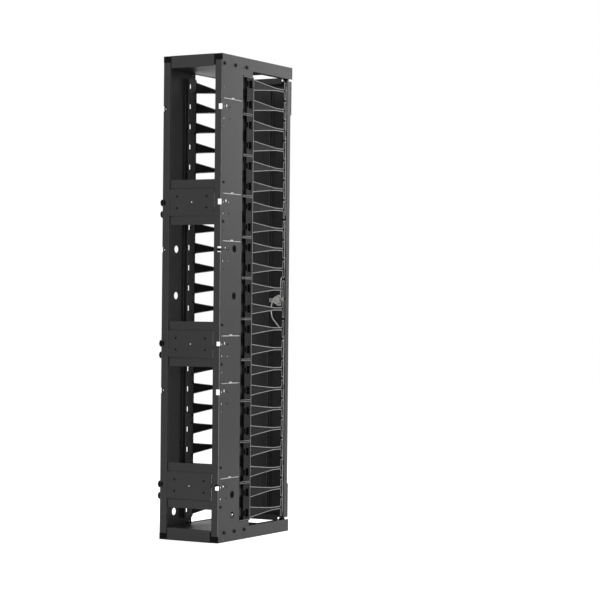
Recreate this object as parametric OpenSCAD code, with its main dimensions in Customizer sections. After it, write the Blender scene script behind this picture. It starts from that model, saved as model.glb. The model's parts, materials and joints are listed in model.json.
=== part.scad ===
// Vertical cable manager for one side of an equipment rack row.
// Two formed pans carry two channel side panels, three cross panels tie the open rear,
// moulded finger modules line both sides and a hinged door with a two-rod latch closes the front.
// Front (door) is -Y, rear is +Y, +Z is up. The origin is the middle of the footprint on the floor.

/* [Overall] */
// Height over the two pans
height = 2090; // [2080:10:2290]
// Width over the two side panels
width = 300; // [280:5:400]
// Depth over the two pans
depth = 600; // [590:5:700]

/* [Sheet metal] */
// Thickness of the side panels and pans
sheet = 2.5; // [1.5:0.1:3]
// Thickness of the door, its end boxes and the cross panels
thin_sheet = 2; // [1:0.1:2.5]
// Bend radius at the middle of the sheet
bend_r = 3.5; // [2.5:0.5:4.5]

/* [Pans] */
// Height of the pan flanges
pan_h = 53; // [45:1:70]
// Distance of the pan plate from the outer end of the flanges
plate_z = 48; // [46:1:49]
// Distance of the side flanges from the rear face
pan_setback = 5; // [5:1:12]
// Depth of the closed rear part of the pan plate
plate_depth = 400; // [300:10:420]
// Width of the strips left beside the pan cut-out
pan_strip = 40; // [34:1:50]
// Depth of the strip in front of the pan cut-out
front_strip = 46.5; // [46:0.5:52]
// Height of the lip under the front strip
front_lip_h = 26; // [12:1:30]
// Gap between the rear posts and the rear flange of a pan
pan_gap = 5; // [2:1:12]
// Diameter of the floor anchor holes
anchor_d = 13; // [8:1:18]
// Distance of the anchor holes from the middle, left to right
anchor_x = 72; // [60:2:90]
// Distance of the rear anchor holes from the rear face
anchor_rear = 142; // [100:2:160]
// Distance between the rear and front anchor holes
anchor_pitch = 200; // [150:10:230]
// Width of a corner cap
cap_w = 34; // [28:1:40]
// Depth of a corner cap, front to back
cap_d = 31; // [28:1:36]

/* [Side panels] */
// Width of the rear post flange
post_w = 36; // [32:1:45]
// Depth of the return lip on the post
lip_d = 16; // [10:1:25]
// Depth of the flat side web
web_d = 172; // [160:1:180]
// Distance of the panel ends from the ends of the pans
panel_end = 28; // [24:1:32]
// Distance of the finger rail ends from the ends of the pans
rail_end = 78; // [72:1:80]
// Depth to which the flat ends of the web run forward
end_web_d = 252; // [250:1:255]
// Depth of the groove beside the finger modules, across the panel
groove_in = 20; // [16:1:30]
// Distance of the module seat from the rear face
module_rear = 209; // [206:1:212]
// Distance of the rail edge from the rear face
rail_edge = 228; // [226:1:234]

/* [Stations] */
// Height of the stations above the middle
station_rise = 5; // [0:1:8]
// Spacing of the station grid
station_pitch = 203.2; // [195:0.1:204]
// Size of the square notch at the post corner
notch = 24; // [16:1:26]
// Width of that notch across the post
notch_w = 17; // [10:1:22]
// Diameter of the baying holes
bay_hole_d = 8; // [5:0.5:10]
// Distance of the first baying hole from the rear face
bay_depth = 20; // [16:1:26]
// Spacing of the baying holes, front to back
bay_pitch_y = 44; // [36:1:50]
// Spacing of the baying holes, up and down
bay_pitch_z = 50; // [40:1:55]
// Diameter of the single larger hole at a station
cable_hole_d = 13; // [9:1:16]
// Distance of the cross panel bolts above and below a station
tie_bolt_z = 84; // [78:1:86]
// Length of the pressed line at a station
line_len = 152; // [120:2:156]
// Height of that line
line_h = 5; // [3:0.5:8]
// Depth of that line
line_d = 1.2; // [0.6:0.1:1.6]
// Distance of the line above the station
line_rise = 38; // [34:1:44]
// Radius of the bead under the line
line_bead = 1.6; // [1:0.1:2]
// Length of the marker clip on the line
clip_len = 20; // [12:1:30]
// Diameter of the large round cable holes
port_d = 32; // [24:1:40]
// Distance of the large round holes from the rear face
port_depth = 112; // [90:2:130]

/* [Cross panels] */
// Height of a cross panel
tie_h = 194; // [186:1:200]
// Height of its middle zone
tie_mid_h = 114; // [100:1:124]
// Step between the middle zone and the two outer zones
tie_step = 5; // [4:0.5:8]
// Distance of a cross panel face from the rear face
tie_depth = 2; // [1:0.5:4]
// Gap between the cross panel and the return lips
tie_gap = 0.5; // [0.3:0.1:2]
// Depth of the ears that reach round the lips
ear_d = 26; // [25:1:30]
// Diameter of the four holes in the face
tie_hole_d = 9; // [6:0.5:12]
// Spacing of the holes, left to right
tie_hole_x = 150; // [120:5:180]
// Spacing of the holes, up and down
tie_hole_z = 50; // [30:2:70]
// Diameter of the hole in the middle
tie_mid_hole_d = 6; // [4:0.5:8]
// Length of the closed inserts behind the four holes
insert_len = 9; // [6:1:12]

/* [Finger modules] */
// Spacing of the fingers
finger_pitch = 88.9; // [88:0.1:89]
// Gap between neighbouring modules
module_gap = 0.8; // [0.4:0.1:2]
// Depth of the outer plate of a module, front to back
base_d = 53; // [50:1:58]
// Thickness of that plate and of its ribs
base_wall = 3; // [2:0.5:4]
// Width of a finger, across the panel
finger_t = 5; // [4:0.5:8]
// Thickness of the web in the middle of a finger
finger_web = 2; // [1.5:0.25:3]
// Thickness of the rim round a finger
rim = 4; // [2.5:0.1:5]
// Height of a finger at its root
root_h = 49; // [40:1:56]
// Height of a finger at its tip
tip_h = 14; // [12:0.5:20]
// Length of the tapered part of a finger
taper_len = 196; // [150:2:230]
// Distance of the head of a finger from the rear face
head_depth = 523; // [505:1:525]
// Width of the head, front to back
head_d = 18; // [14:1:18]
// Height of the head
head_h = 78; // [60:1:82]
// Corner radius of the head and of its roots
head_r = 5; // [2:0.5:6]
// Height of the window in the base beside a finger
window_h = 34; // [24:1:40]
// Depth of that window, front to back
window_d = 24; // [14:1:30]
// Height of the rail slots
rail_slot_h = 22; // [16:1:30]
// Width of the rail slots, front to back
rail_slot_w = 14; // [8:1:15]
// Distance of the module screws above and below the middle of a module
screw_dz = 18; // [14:1:20]

/* [Door] */
// Gap between the door and each pan
door_gap = 10; // [8:1:14]
// Distance of the main door face from the rear face
door_face = 590; // [588:1:592]
// Depth of the door's side flanges
door_flange = 33; // [30:1:34]
// Distance of the front of the end boxes behind the front of the pans
box_back = 2; // [1:0.5:3]
// Height of the end boxes
box_h = 151; // [120:1:180]
// Width of the stiffener face
hat_w = 40; // [30:1:44]
// Depth of the stiffener
hat_d = 18; // [12:1:18]
// Middle of the stiffener, left of the centre
hat_x = 30; // [26:1:34]
// Distance of the pin and rod lines from the door centre
pin_x = 137; // [136:0.5:138]
// Distance of the pin and rod lines from the rear face
pin_depth = 564; // [563:0.5:565]
// Diameter of the hinge pins
pin_d = 8; // [6:0.5:8]
// Running clearance of pins, rods and spindle, on the radius
run_gap = 0.1; // [0.05:0.01:0.1]
// Height of the corner bushes
bush_h = 24; // [16:1:30]
// Width of the latch strikes
strike_w = 20; // [16:1:22]

/* [Latch] */
// Distance of the handle left of the centre
handle_x = 98; // [97:0.5:99]
// Height of the handle below the middle
handle_drop = 5; // [0:1:20]
// Length of the handle grip
handle_len = 110; // [80:5:140]
// Width of the handle grip
handle_w = 24; // [18:1:30]
// Length of a cam arm, from the spindle to the rod hook
arm = 21; // [20.5:0.25:21.5]
// Diameter of the spindle
spindle_d = 12; // [8:1:14]
// Diameter of the latch rods
rod_d = 6; // [5:0.5:6]
// Distance that a latched rod reaches past the outer face of the pan plate
rod_reach = 3; // [1:0.5:3.5]
// Turn of the handle, degrees
cam_turn = 40; // [30:1:42]

/* [Fasteners] */
// Diameter of the panel bolt heads
bolt_head_d = 14; // [11:0.5:16]
// Height of the panel bolt heads
bolt_head_h = 5; // [3:0.5:6]
// Diameter of the panel bolts
bolt_d = 6; // [5:0.5:6.5]
// Diameter of the cross panel bolt heads
tie_head_d = 12; // [9:0.5:13]
// Diameter of the cross panel bolts
tie_d = 6; // [5:0.5:6]
// Diameter of the baying knobs
knob_d = 28; // [20:1:30]
// Distance that a baying knob stands out
knob_h = 8; // [6:0.5:10]
// Diameter of the corner cap and module screws
screw_d = 5; // [4:0.5:5.5]

/* [Hidden] */
$fn = 32;
fit = 0.3;
hw = width / 2;
rear = depth / 2;
front = -depth / 2;
mid = height / 2;
pan_w = width - 2 * sheet;
flange_w = 2 * (hw - post_w - pan_gap);
module_count = 11;
module_pitch = 2 * finger_pitch;
rail_x = hw - groove_in;
module_front = module_rear + base_d;
STATIONS = [-4, -2, -1, 1, 2, 4];
TIE_STATIONS = [2, -1, -4];
PORTS = [[1, 5], [0, 5], [-4, -37], [-4, -127]];
// Bolt places in the web, from the rear face: upper end, lower end
TOP_BOLTS = [24, 113, 204];
BOTTOM_BOLTS = [52, 135, 217];
bolt_z = 41;
hole_z = 13;
small_hole_d = 5;
line_end = web_d - bend_r - 3;
end_hole_depth = 236;
end_hole_z = 58;
door_lo = pan_h + door_gap;
door_hi = height - pan_h - door_gap;
door_w = pan_w;
door_front = rear - door_face;
box_front = front + box_back;
pin_y = rear - pin_depth;
handle_z = mid - handle_drop;
post_front = rear - lip_d - 1;
lip_w = 236;
strike_neck = 12;
cap_x = hw - 2 * sheet - cap_w / 2;
cap_y = post_front - 9;
screw_y = at_depth(module_rear + 11);
slot_y = at_depth(web_d + bend_r + rail_slot_w + 1);
tie_ear_y = rear - bay_depth;
// Rod guides, from the handle height
GUIDES = [-740, -400, 360, 740];
bend_ball = 0.6;
bush_in = 10;
bush_out = door_w / 2 - thin_sheet - (bend_r - thin_sheet / 2) - pin_x;
housing_d = 30;
housing_neck = 18;
square = 8;
stub_d = 6;
cam_t = 3;
cam_disc = 34;
cam_y = pin_y + rod_d / 2 + 2;
hook_y = cam_y + cam_t + 4;
slot_w = rod_d + 4;
plate_t = 3;
plate_w = 32;
plate_screw_z = 24;
plate_screw_d = 4;
handle_back = door_front - plate_t - 2 - fit;

function station_z(k) = mid + station_rise + k * station_pitch;
function module_z(i) = mid + (i - (module_count + 1) / 2) * module_pitch;
function at_depth(d) = rear - d;

// Points of a quarter or other arc about c, from angle a0 to a1
function arc(c, r, a0, a1, n) = [for (i = [0:n]) let (a = a0 + (a1 - a0) * i / n) c + r * [cos(a), sin(a)]];
function unit(v) = v / norm(v);
function left_of(v) = [-v[1], v[0]];

// Edge of a bent sheet: the path p moved sideways by s, with its corners rounded about radius r
function sheet_corner(a, b, c, r, s) =
    let (u = unit(b - a), v = unit(c - b), turn = u[0] * v[1] - u[1] * v[0] > 0 ? 1 : -1)
    let (cut = r * tan(acos(u * v) / 2), centre = b - u * cut + turn * r * left_of(u))
    let (q = r - turn * s, a0 = atan2(-turn * left_of(u)[1], -turn * left_of(u)[0]))
    arc(centre, q, a0, a0 + turn * acos(u * v), 4);
function sheet_edge(p, r, s) = concat(
    [p[0] + s * left_of(unit(p[1] - p[0]))],
    [for (i = [1:len(p) - 2]) each sheet_corner(p[i - 1], p[i], p[i + 1], r, s)],
    [p[len(p) - 1] + s * left_of(unit(p[len(p) - 1] - p[len(p) - 2]))]);
function reversed(p) = [for (i = [len(p) - 1:-1:0]) p[i]];

// Bent sheet of thickness t whose middle follows p
module bent_sheet(p, t, h) {
    linear_extrude(h) polygon(concat(sheet_edge(p, bend_r, t / 2), reversed(sheet_edge(p, bend_r, -t / 2))));
}

// Bore along X, Y or Z that starts at p
module bore_x(p, d, l) { translate(p) rotate([0, 90, 0]) cylinder(d = d, h = l); }
module bore_y(p, d, l) { translate(p) rotate([-90, 0, 0]) cylinder(d = d, h = l); }

// Things that stand on both sides of the middle plane
module both_sides() {
    children();
    mirror([1, 0, 0]) children();
}

// ---------- Pans ----------
module pan() {
    cut_front = at_depth(plate_depth);
    difference() {
        union() {
            translate([-pan_w / 2, front, plate_z]) cube([pan_w, post_front - front, sheet]);
            translate([-flange_w / 2, post_front - sheet, plate_z])
                cube([flange_w, rear - post_front + sheet, sheet]);
            translate([-flange_w / 2, rear - sheet, 0]) cube([flange_w, sheet, pan_h]);
            both_sides() translate([-pan_w / 2, front, 0]) cube([sheet, depth - pan_setback, pan_h]);
            translate([-lip_w / 2, front + front_strip - sheet, plate_z]) cube([lip_w, sheet, front_lip_h]);
        }
        translate([-pan_w / 2 + pan_strip, front + front_strip, plate_z - 1])
            cube([pan_w - 2 * pan_strip, cut_front - front - front_strip, sheet + 2]);
        for (x = [-anchor_x, anchor_x], d = [anchor_rear, anchor_rear + anchor_pitch])
            translate([x, at_depth(d), plate_z - 1]) cylinder(d = anchor_d, h = sheet + 2);
        both_sides() {
            for (d = BOTTOM_BOLTS) bore_x([-hw, at_depth(d), hole_z], small_hole_d, 2 * sheet + 1);
            for (d = concat(BOTTOM_BOLTS, TOP_BOLTS))
                bore_x([-hw, at_depth(d), bolt_z], bolt_d + 2 * run_gap, 2 * sheet + 1);
            translate([cap_x, cap_y, plate_z - 1]) cylinder(d = screw_d + 2 * run_gap, h = sheet + 2);
        }
        translate([pin_x, pin_y, plate_z - 1]) cylinder(d = pin_d + 2 * run_gap, h = sheet + 2);
        translate([-pin_x, pin_y, plate_z - 1]) cylinder(d = strike_neck + 2 * run_gap, h = sheet + 2);
    }
}
module bottom_pan() { color([0.16, 0.16, 0.17]) pan(); }
module top_pan() { color([0.16, 0.16, 0.17]) translate([0, 0, height]) mirror([0, 0, 1]) pan(); }

// ---------- Corner caps ----------
// Block that fills the corner up to the post; its upper part clears the return lip and the rear web bolt
module pan_caps() {
    corner = rear - pan_setback + fit;
    both_sides() difference() {
        union() {
            translate([cap_x - cap_w / 2, rear - 1 - cap_d, 0.5]) cube([cap_w, cap_d, plate_z - 0.5]);
            translate([cap_x, corner, 0.5]) cube([hw - 0.5 - cap_x, rear - 1 - corner, panel_end - 1]);
        }
        translate([cap_x - cap_w / 2 - 1, post_front, panel_end - 0.5]) cube([hw, cap_d, plate_z]);
        translate([hw - 2 * sheet - 10, at_depth(TOP_BOLTS[0]) - 8, bolt_z - 8]) cube([12, cap_d, plate_z]);
        translate([cap_x, cap_y, plate_z - 14]) cylinder(d = screw_d + 2 * run_gap, h = 15);
    }
}
module pan_cap_screws() {
    both_sides() translate([cap_x, cap_y, plate_z]) {
        translate([0, 0, -12]) cylinder(d = screw_d, h = 12 + sheet + 1);
        translate([0, 0, sheet]) cylinder(d = screw_d + 4, h = 3);
    }
}
module corner_caps_bottom() { color([0.03, 0.03, 0.03]) pan_caps(); }
module corner_caps_top() {
    color([0.03, 0.03, 0.03]) translate([0, 0, height]) mirror([0, 0, 1]) pan_caps();
}
module corner_cap_screws() {
    color([0.6, 0.6, 0.62]) {
        pan_cap_screws();
        translate([0, 0, height]) mirror([0, 0, 1]) pan_cap_screws();
    }
}

// ---------- Side panels ----------
// The section runs from the return lip round the post and web, through the groove, to the rail edge
module side_panel() {
    post = [[-hw + post_w - sheet / 2, rear - lip_d], [-hw + post_w - sheet / 2, rear - sheet / 2],
            [-hw + sheet / 2, rear - sheet / 2]];
    rail = [[-hw + sheet / 2, at_depth(web_d)], [-rail_x + sheet / 2, at_depth(web_d)],
            [-rail_x + sheet / 2, at_depth(rail_edge)]];
    difference() {
        union() {
            translate([0, 0, rail_end]) bent_sheet(concat(post, rail), sheet, height - 2 * rail_end);
            for (z = [panel_end, height - rail_end]) translate([0, 0, z])
                bent_sheet(concat(post, [[-hw + sheet / 2, at_depth(end_web_d)]]), sheet,
                           rail_end - panel_end);
        }
        for (k = STATIONS) station_cuts(station_z(k));
        for (p = PORTS) bore_x([-hw - 1, at_depth(port_depth), station_z(p[0]) + p[1]], port_d, sheet + 2);
        for (d = BOTTOM_BOLTS) bore_x([-hw - 1, at_depth(d), bolt_z], bolt_d + 2 * run_gap, sheet + 2);
        for (d = TOP_BOLTS) bore_x([-hw - 1, at_depth(d), height - bolt_z], bolt_d + 2 * run_gap, sheet + 2);
        for (z = [end_hole_z, height - end_hole_z])
            bore_x([-hw - 1, at_depth(end_hole_depth), z], small_hole_d, sheet + 2);
        for (i = [1:module_count], s = [-0.5, 0.5])
            translate([-rail_x - 1, slot_y, module_z(i) + s * finger_pitch - rail_slot_h / 2])
                cube([sheet + 2, rail_slot_w, rail_slot_h]);
        for (i = [1:module_count], s = [-1, 1])
            bore_x([-rail_x - 1, screw_y, module_z(i) + s * screw_dz], screw_d + 2 * run_gap, sheet + 2);
    }
    for (k = STATIONS)
        translate([-hw + line_bead / 2, at_depth(line_end), station_z(k) + line_rise - line_bead])
            rotate([-90, 0, 0]) cylinder(r = line_bead, h = line_len);
}
module station_cuts(z) {
    translate([-hw - 1, rear - notch_w / 2, z - notch / 2]) cube([notch_w + 1, notch_w, notch]);
    for (d = [bay_depth, bay_depth + bay_pitch_y], dz = [0, -bay_pitch_z])
        bore_x([-hw - 1, at_depth(d), z + dz], bay_hole_d, sheet + 2);
    bore_x([-hw - 1, at_depth(bay_depth + bay_pitch_y / 2), z + 5], cable_hole_d, sheet + 2);
    for (dz = [-tie_bolt_z, tie_bolt_z])
        bore_x([-hw - 1, at_depth(bay_depth), z + dz], tie_d + 2 * run_gap, sheet + 2);
    translate([-hw - 1, at_depth(line_end), z + line_rise]) cube([line_d + 1, line_len, line_h]);
}
module side_panel_left() { color([0.15, 0.15, 0.16]) side_panel(); }
module side_panel_right() { color([0.15, 0.15, 0.16]) mirror([1, 0, 0]) side_panel(); }

// Small marker clips that sit in the pressed lines
module marker_clips() {
    color([0.75, 0.75, 0.74]) both_sides() for (k = STATIONS)
        translate([-hw - 1, at_depth(line_end - (line_len - clip_len) / 2),
                   station_z(k) + line_rise + fit])
            cube([line_d + 1, clip_len, line_h - 2 * fit]);
}

// Bolts through the webs into the pans: head outside, nut inside
module web_bolt(p) {
    bore_x([p[0] - bolt_head_h, p[1], p[2]], bolt_head_d, bolt_head_h);
    bore_x(p, bolt_d, 2 * sheet + 8);
    difference() {
        translate([p[0] + 2 * sheet, p[1], p[2]]) rotate([0, 90, 0])
            cylinder(d = bolt_d * 1.8, h = 6, $fn = 6);
        bore_x([p[0] + 2 * sheet - 1, p[1], p[2]], bolt_d - 1, 8);
    }
}
module side_panel_bolts() {
    color([0.05, 0.05, 0.05]) both_sides() {
        for (d = BOTTOM_BOLTS) web_bolt([-hw, at_depth(d), bolt_z]);
        for (d = TOP_BOLTS) web_bolt([-hw, at_depth(d), height - bolt_z]);
    }
}

// ---------- Cross panels ----------
module cross_panel(z) {
    face_w = 2 * (hw - post_w - tie_gap);
    y0 = rear - tie_depth;
    m = tie_mid_h / 2;
    e = tie_h / 2;
    s = tie_step;
    t = thin_sheet;
    ear_z0 = m + s;
    ear_h = e - ear_z0;
    outer = hw - sheet;
    difference() {
        translate([0, 0, z]) {
            // joggled face
            translate([-face_w / 2, 0, 0]) rotate([90, 0, 90]) linear_extrude(face_w)
                polygon([[y0 - s - t, -e], [y0 - s, -e], [y0 - s, -m - s], [y0, -m], [y0, m],
                         [y0 - s, m + s], [y0 - s, e], [y0 - s - t, e], [y0 - s - t, m + s], [y0 - t, m],
                         [y0 - t, -m], [y0 - s - t, -m - s]]);
            // closed inserts
            for (x = [-tie_hole_x / 2, tie_hole_x / 2], dz = [-tie_hole_z / 2, tie_hole_z / 2])
                bore_y([x, y0 - insert_len, dz], tie_hole_d + 3, insert_len - t / 2);
            // ears round the return lips
            both_sides() for (up = [0, 1]) mirror([0, 0, up]) translate([0, 0, ear_z0]) {
                translate([-face_w / 2, rear - ear_d, 0]) cube([t, ear_d - tie_depth - s, ear_h]);
                translate([-outer, rear - ear_d, 0]) cube([outer - face_w / 2 + t, t, ear_h]);
                translate([-outer, rear - ear_d, 0]) cube([t, ear_d - 5, ear_h]);
            }
        }
        for (x = [-tie_hole_x / 2, tie_hole_x / 2], dz = [-tie_hole_z / 2, tie_hole_z / 2])
            bore_y([x, y0 - insert_len + t, z + dz], tie_hole_d, insert_len);
        bore_y([0, y0 - t - 1, z], tie_mid_hole_d, t + 2);
        both_sides() for (dz = [-tie_bolt_z, tie_bolt_z])
            bore_x([-hw, tie_ear_y, z + dz], tie_d + 2 * run_gap, 2 * sheet + t);
    }
}
module cross_panel_upper() { color([0.13, 0.13, 0.14]) cross_panel(station_z(TIE_STATIONS[0])); }
module cross_panel_middle() { color([0.13, 0.13, 0.14]) cross_panel(station_z(TIE_STATIONS[1])); }
module cross_panel_lower() { color([0.13, 0.13, 0.14]) cross_panel(station_z(TIE_STATIONS[2])); }
module cross_panel_bolts() {
    color([0.04, 0.04, 0.04]) both_sides() for (k = TIE_STATIONS, dz = [-tie_bolt_z, tie_bolt_z])
        translate([0, tie_ear_y, station_z(k) + dz]) {
            bore_x([-hw - 4, 0, 0], tie_head_d, 4);
            bore_x([-hw, 0, 0], tie_d, sheet + thin_sheet + 6);
        }
}

// ---------- Baying knobs ----------
// Each is a round plastic head on a stud that passes the web and takes a nut inside
module baying_knobs() {
    color([0.04, 0.04, 0.04]) for (k = TIE_STATIONS, dz = [0, -bay_pitch_z])
        translate([0, at_depth(bay_depth + bay_pitch_y), station_z(k) + dz]) {
            bore_x([hw, 0, 0], knob_d, knob_h - 2);
            translate([hw + knob_h - 2, 0, 0]) rotate([0, 90, 0])
                cylinder(d1 = knob_d, d2 = knob_d - 4, h = 2);
            bore_x([hw - sheet - 10, 0, 0], bay_hole_d - 2 * run_gap, sheet + 10);
            bore_x([hw - sheet - 6, 0, 0], bay_hole_d * 1.8, 6);
        }
}

// ---------- Finger modules ----------
// Half height of a finger along its length, u from 0 at the root to 1 at the end of the taper
function finger_half(u, inset) = tip_h / 2 - inset + (root_h - tip_h) / 2 * pow(1 - u, 1.12);
function finger_edge(inset) =
    [for (i = [0:8]) [at_depth(module_front + taper_len * i / 8), finger_half(i / 8, inset)]];
function head_edge(inset) =
    let (y0 = at_depth(head_depth) - inset, y1 = at_depth(head_depth + head_d) + inset)
    let (r = head_r - inset / 2, z = head_h / 2 - inset - r)
    concat(arc([y0 - r, z], r, 0, 90, 4), arc([y1 + r, z], r, 90, 180, 4));
function upside(p) = [for (q = reversed(p)) [q[0], -q[1]]];
function finger_outline() = let (up = concat(
        [[at_depth(module_front) + base_wall, root_h / 2]], finger_edge(0),
        reversed(arc([at_depth(head_depth) + head_r, tip_h / 2 + head_r], head_r, 180, 270, 4)),
        head_edge(0))) concat(up, upside(up));
function finger_pocket() = let (up = concat(finger_edge(rim),
        [[at_depth(head_depth) + rim / 2, tip_h / 2 - rim]])) concat(up, upside(up));
function head_pocket() = let (up = head_edge(rim)) concat(up, upside(up));

module plate_x(p, x, t) { translate([x, 0, 0]) rotate([90, 0, 90]) linear_extrude(t) polygon(p); }
module finger() {
    side = (finger_t - finger_web) / 2;
    difference() {
        plate_x(finger_outline(), -hw, finger_t);
        for (x = [-hw - 1, -hw + finger_t - side]) {
            plate_x(finger_pocket(), x, side + 1);
            plate_x(head_pocket(), x, side + 1);
        }
    }
}
// Base from z0 to z1: an outer plate with a window beside each finger, ribs and bosses that stand on the rail
module module_base(zc, z0, z1) {
    y0 = at_depth(module_front);
    rib_d = rail_edge - module_rear - 4;
    difference() {
        union() {
            translate([-hw, y0, z0]) cube([base_wall, base_d, z1 - z0]);
            for (z = [z0, zc - base_wall / 2, z1 - base_wall]) translate([-hw, at_depth(rail_edge), z])
                cube([groove_in, rib_d, base_wall]);
            for (s = [-1, 1]) bore_x([-hw + 1, screw_y, zc + s * screw_dz], 2 * screw_d, groove_in - 1);
            translate([-hw, at_depth(module_rear) - base_wall / 2, z0]) cylinder(d = base_wall, h = z1 - z0);
        }
        for (s = [-0.5, 0.5]) translate([-hw - 1, y0 + base_wall, zc + s * finger_pitch - window_h / 2])
            cube([base_wall + 2, window_d, window_h]);
        for (s = [-1, 1])
            bore_x([-hw + base_wall, screw_y, zc + s * screw_dz], screw_d - 1 + 2 * run_gap, groove_in);
    }
}
module finger_module(i) {
    zc = module_z(i);
    half = module_pitch / 2 - module_gap / 2;
    color([0.05, 0.05, 0.05]) {
        module_base(zc, max(zc - half, rail_end + module_gap),
                    min(zc + half, height - rail_end - module_gap));
        for (s = [-0.5, 0.5]) translate([0, 0, zc + s * finger_pitch]) finger();
    }
}
// Screws from inside the rail into the bosses of the bases
module module_screws() {
    color([0.3, 0.3, 0.31]) for (i = [1:module_count], s = [-1, 1])
        translate([-rail_x, screw_y, module_z(i) + s * screw_dz]) {
            bore_x([sheet, 0, 0], 2 * screw_d, 3);
            bore_x([-10, 0, 0], screw_d - 1, sheet + 10);
        }
}
module module_screws_left() { module_screws(); }
module module_screws_right() { mirror([1, 0, 0]) module_screws(); }

// ---------- Hinge pins and latch strikes ----------
// A headed pin hangs through the front strip of each pan into the door bush
module hinge_pin() {
    translate([pin_x, pin_y, 0]) {
        translate([0, 0, plate_z - 4]) cylinder(d = pin_d + 5, h = 4);
        translate([0, 0, plate_z - 4]) cylinder(d = pin_d, h = door_lo - plate_z + thin_sheet + bush_h);
        translate([0, 0, plate_z + sheet]) cylinder(d = pin_d + 6, h = door_lo - plate_z - sheet - fit);
    }
}
module hinge_pin_bottom() { color([0.55, 0.55, 0.57]) hinge_pin(); }
module hinge_pin_top() { color([0.55, 0.55, 0.57]) translate([0, 0, height]) mirror([0, 0, 1]) hinge_pin(); }
// Block between pan and door that the rod passes through; its neck stands in the pan plate
module latch_strike() {
    deep = strike_w - 2;
    translate([-pin_x, pin_y, plate_z]) difference() {
        union() {
            translate([0, 0, -2]) cylinder(d = strike_neck, h = sheet + 3);
            translate([-bush_out - 2, -deep / 2, sheet])
                cube([strike_w, deep, door_lo - plate_z - sheet - 1.5]);
        }
        translate([0, 0, -3]) cylinder(d = rod_d + 2 * run_gap + 0.6, h = door_lo);
    }
}
module latch_strike_bottom() { color([0.05, 0.05, 0.05]) latch_strike(); }
module latch_strike_top() {
    color([0.05, 0.05, 0.05]) translate([0, 0, height]) mirror([0, 0, 1]) latch_strike();
}

// ---------- Door ----------
module door_panel() {
    t = thin_sheet;
    x = door_w / 2 - t / 2;
    yf = door_front + t / 2;
    inner = door_w - 2 * t;
    color([0.14, 0.14, 0.15]) difference() {
        union() {
            translate([0, 0, door_lo])
                bent_sheet([[-x, door_front + door_flange], [-x, yf],
                            [x, yf], [x, door_front + door_flange]], t, door_hi - door_lo);
            for (z = [door_lo, door_hi - t])
                translate([-inner / 2 - t / 2, door_front + t / 2, z])
                    cube([inner + t, door_flange - t / 2, t]);
        }
        for (z = [door_lo - 1, door_hi - t - 1]) {
            translate([pin_x, pin_y, z]) cylinder(d = pin_d + 2, h = t + 2);
            translate([-pin_x, pin_y, z]) cylinder(d = rod_d + 2, h = t + 2);
        }
        bore_y([-handle_x, door_front - 1, handle_z], housing_neck + 2 * run_gap, t + 2);
        for (dz = [-1, 1])
            bore_y([-handle_x, door_front - 1, handle_z + dz * plate_screw_z], plate_screw_d + 1, t + 2);
    }
}
module door_stiffener() {
    t = thin_sheet;
    y0 = door_front + t;
    foot = 10;
    lo = door_lo + 40;
    color([0.13, 0.13, 0.14]) translate([-hat_x, 0, lo])
        bent_sheet([[-hat_w / 2 - foot, y0 + t / 2], [-hat_w / 2, y0 + t / 2], [-hat_w / 2, y0 + hat_d - t / 2],
                    [hat_w / 2, y0 + hat_d - t / 2], [hat_w / 2, y0 + t / 2],
                    [hat_w / 2 + foot, y0 + t / 2]],
                   t, height - 2 * lo);
}
// Box on the front of each door end; it is open towards the door
module door_end() {
    t = thin_sheet;
    x = door_w / 2 - t / 2;
    yf = box_front + t / 2;
    bent_sheet([[-x, door_front], [-x, yf], [x, yf], [x, door_front]], t, box_h);
    for (z = [0, box_h - t])
        translate([-x, yf, z]) cube([2 * x, door_front - yf, t]);
}
module door_end_bottom() { color([0.15, 0.15, 0.16]) translate([0, 0, door_lo]) door_end(); }
module door_end_top() { color([0.15, 0.15, 0.16]) translate([0, 0, door_hi - box_h]) door_end(); }

// Plastic block in a door corner, bored for a pin or a rod
module corner_bush(x, bore) {
    y0 = door_front + thin_sheet;
    difference() {
        translate([x - bush_in, y0, door_lo + thin_sheet]) cube([bush_in + bush_out, pin_y + 6 - y0, bush_h]);
        translate([x, pin_y, door_lo]) cylinder(d = bore, h = bush_h + 8);
    }
}
module hinge_bushes() {
    color([0.06, 0.06, 0.06]) {
        corner_bush(pin_x, pin_d + 2 * run_gap);
        translate([0, 0, height]) mirror([0, 0, 1]) corner_bush(pin_x, pin_d + 2 * run_gap);
    }
}
module rod_end_guides() {
    color([0.06, 0.06, 0.06]) {
        mirror([1, 0, 0]) corner_bush(pin_x, rod_d + 2 * run_gap);
        mirror([1, 0, 0]) translate([0, 0, height]) mirror([0, 0, 1]) corner_bush(pin_x, rod_d + 2 * run_gap);
    }
}
module rod_guides() {
    y0 = door_front + thin_sheet;
    color([0.06, 0.06, 0.06]) for (dz = GUIDES) translate([-pin_x, 0, handle_z + dz]) difference() {
        translate([-bush_out, y0, 0]) cube([2 * bush_out, pin_y + 6 - y0, 20]);
        translate([0, pin_y, -1]) cylinder(d = rod_d + 2 * run_gap, h = 22);
    }
}

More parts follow.
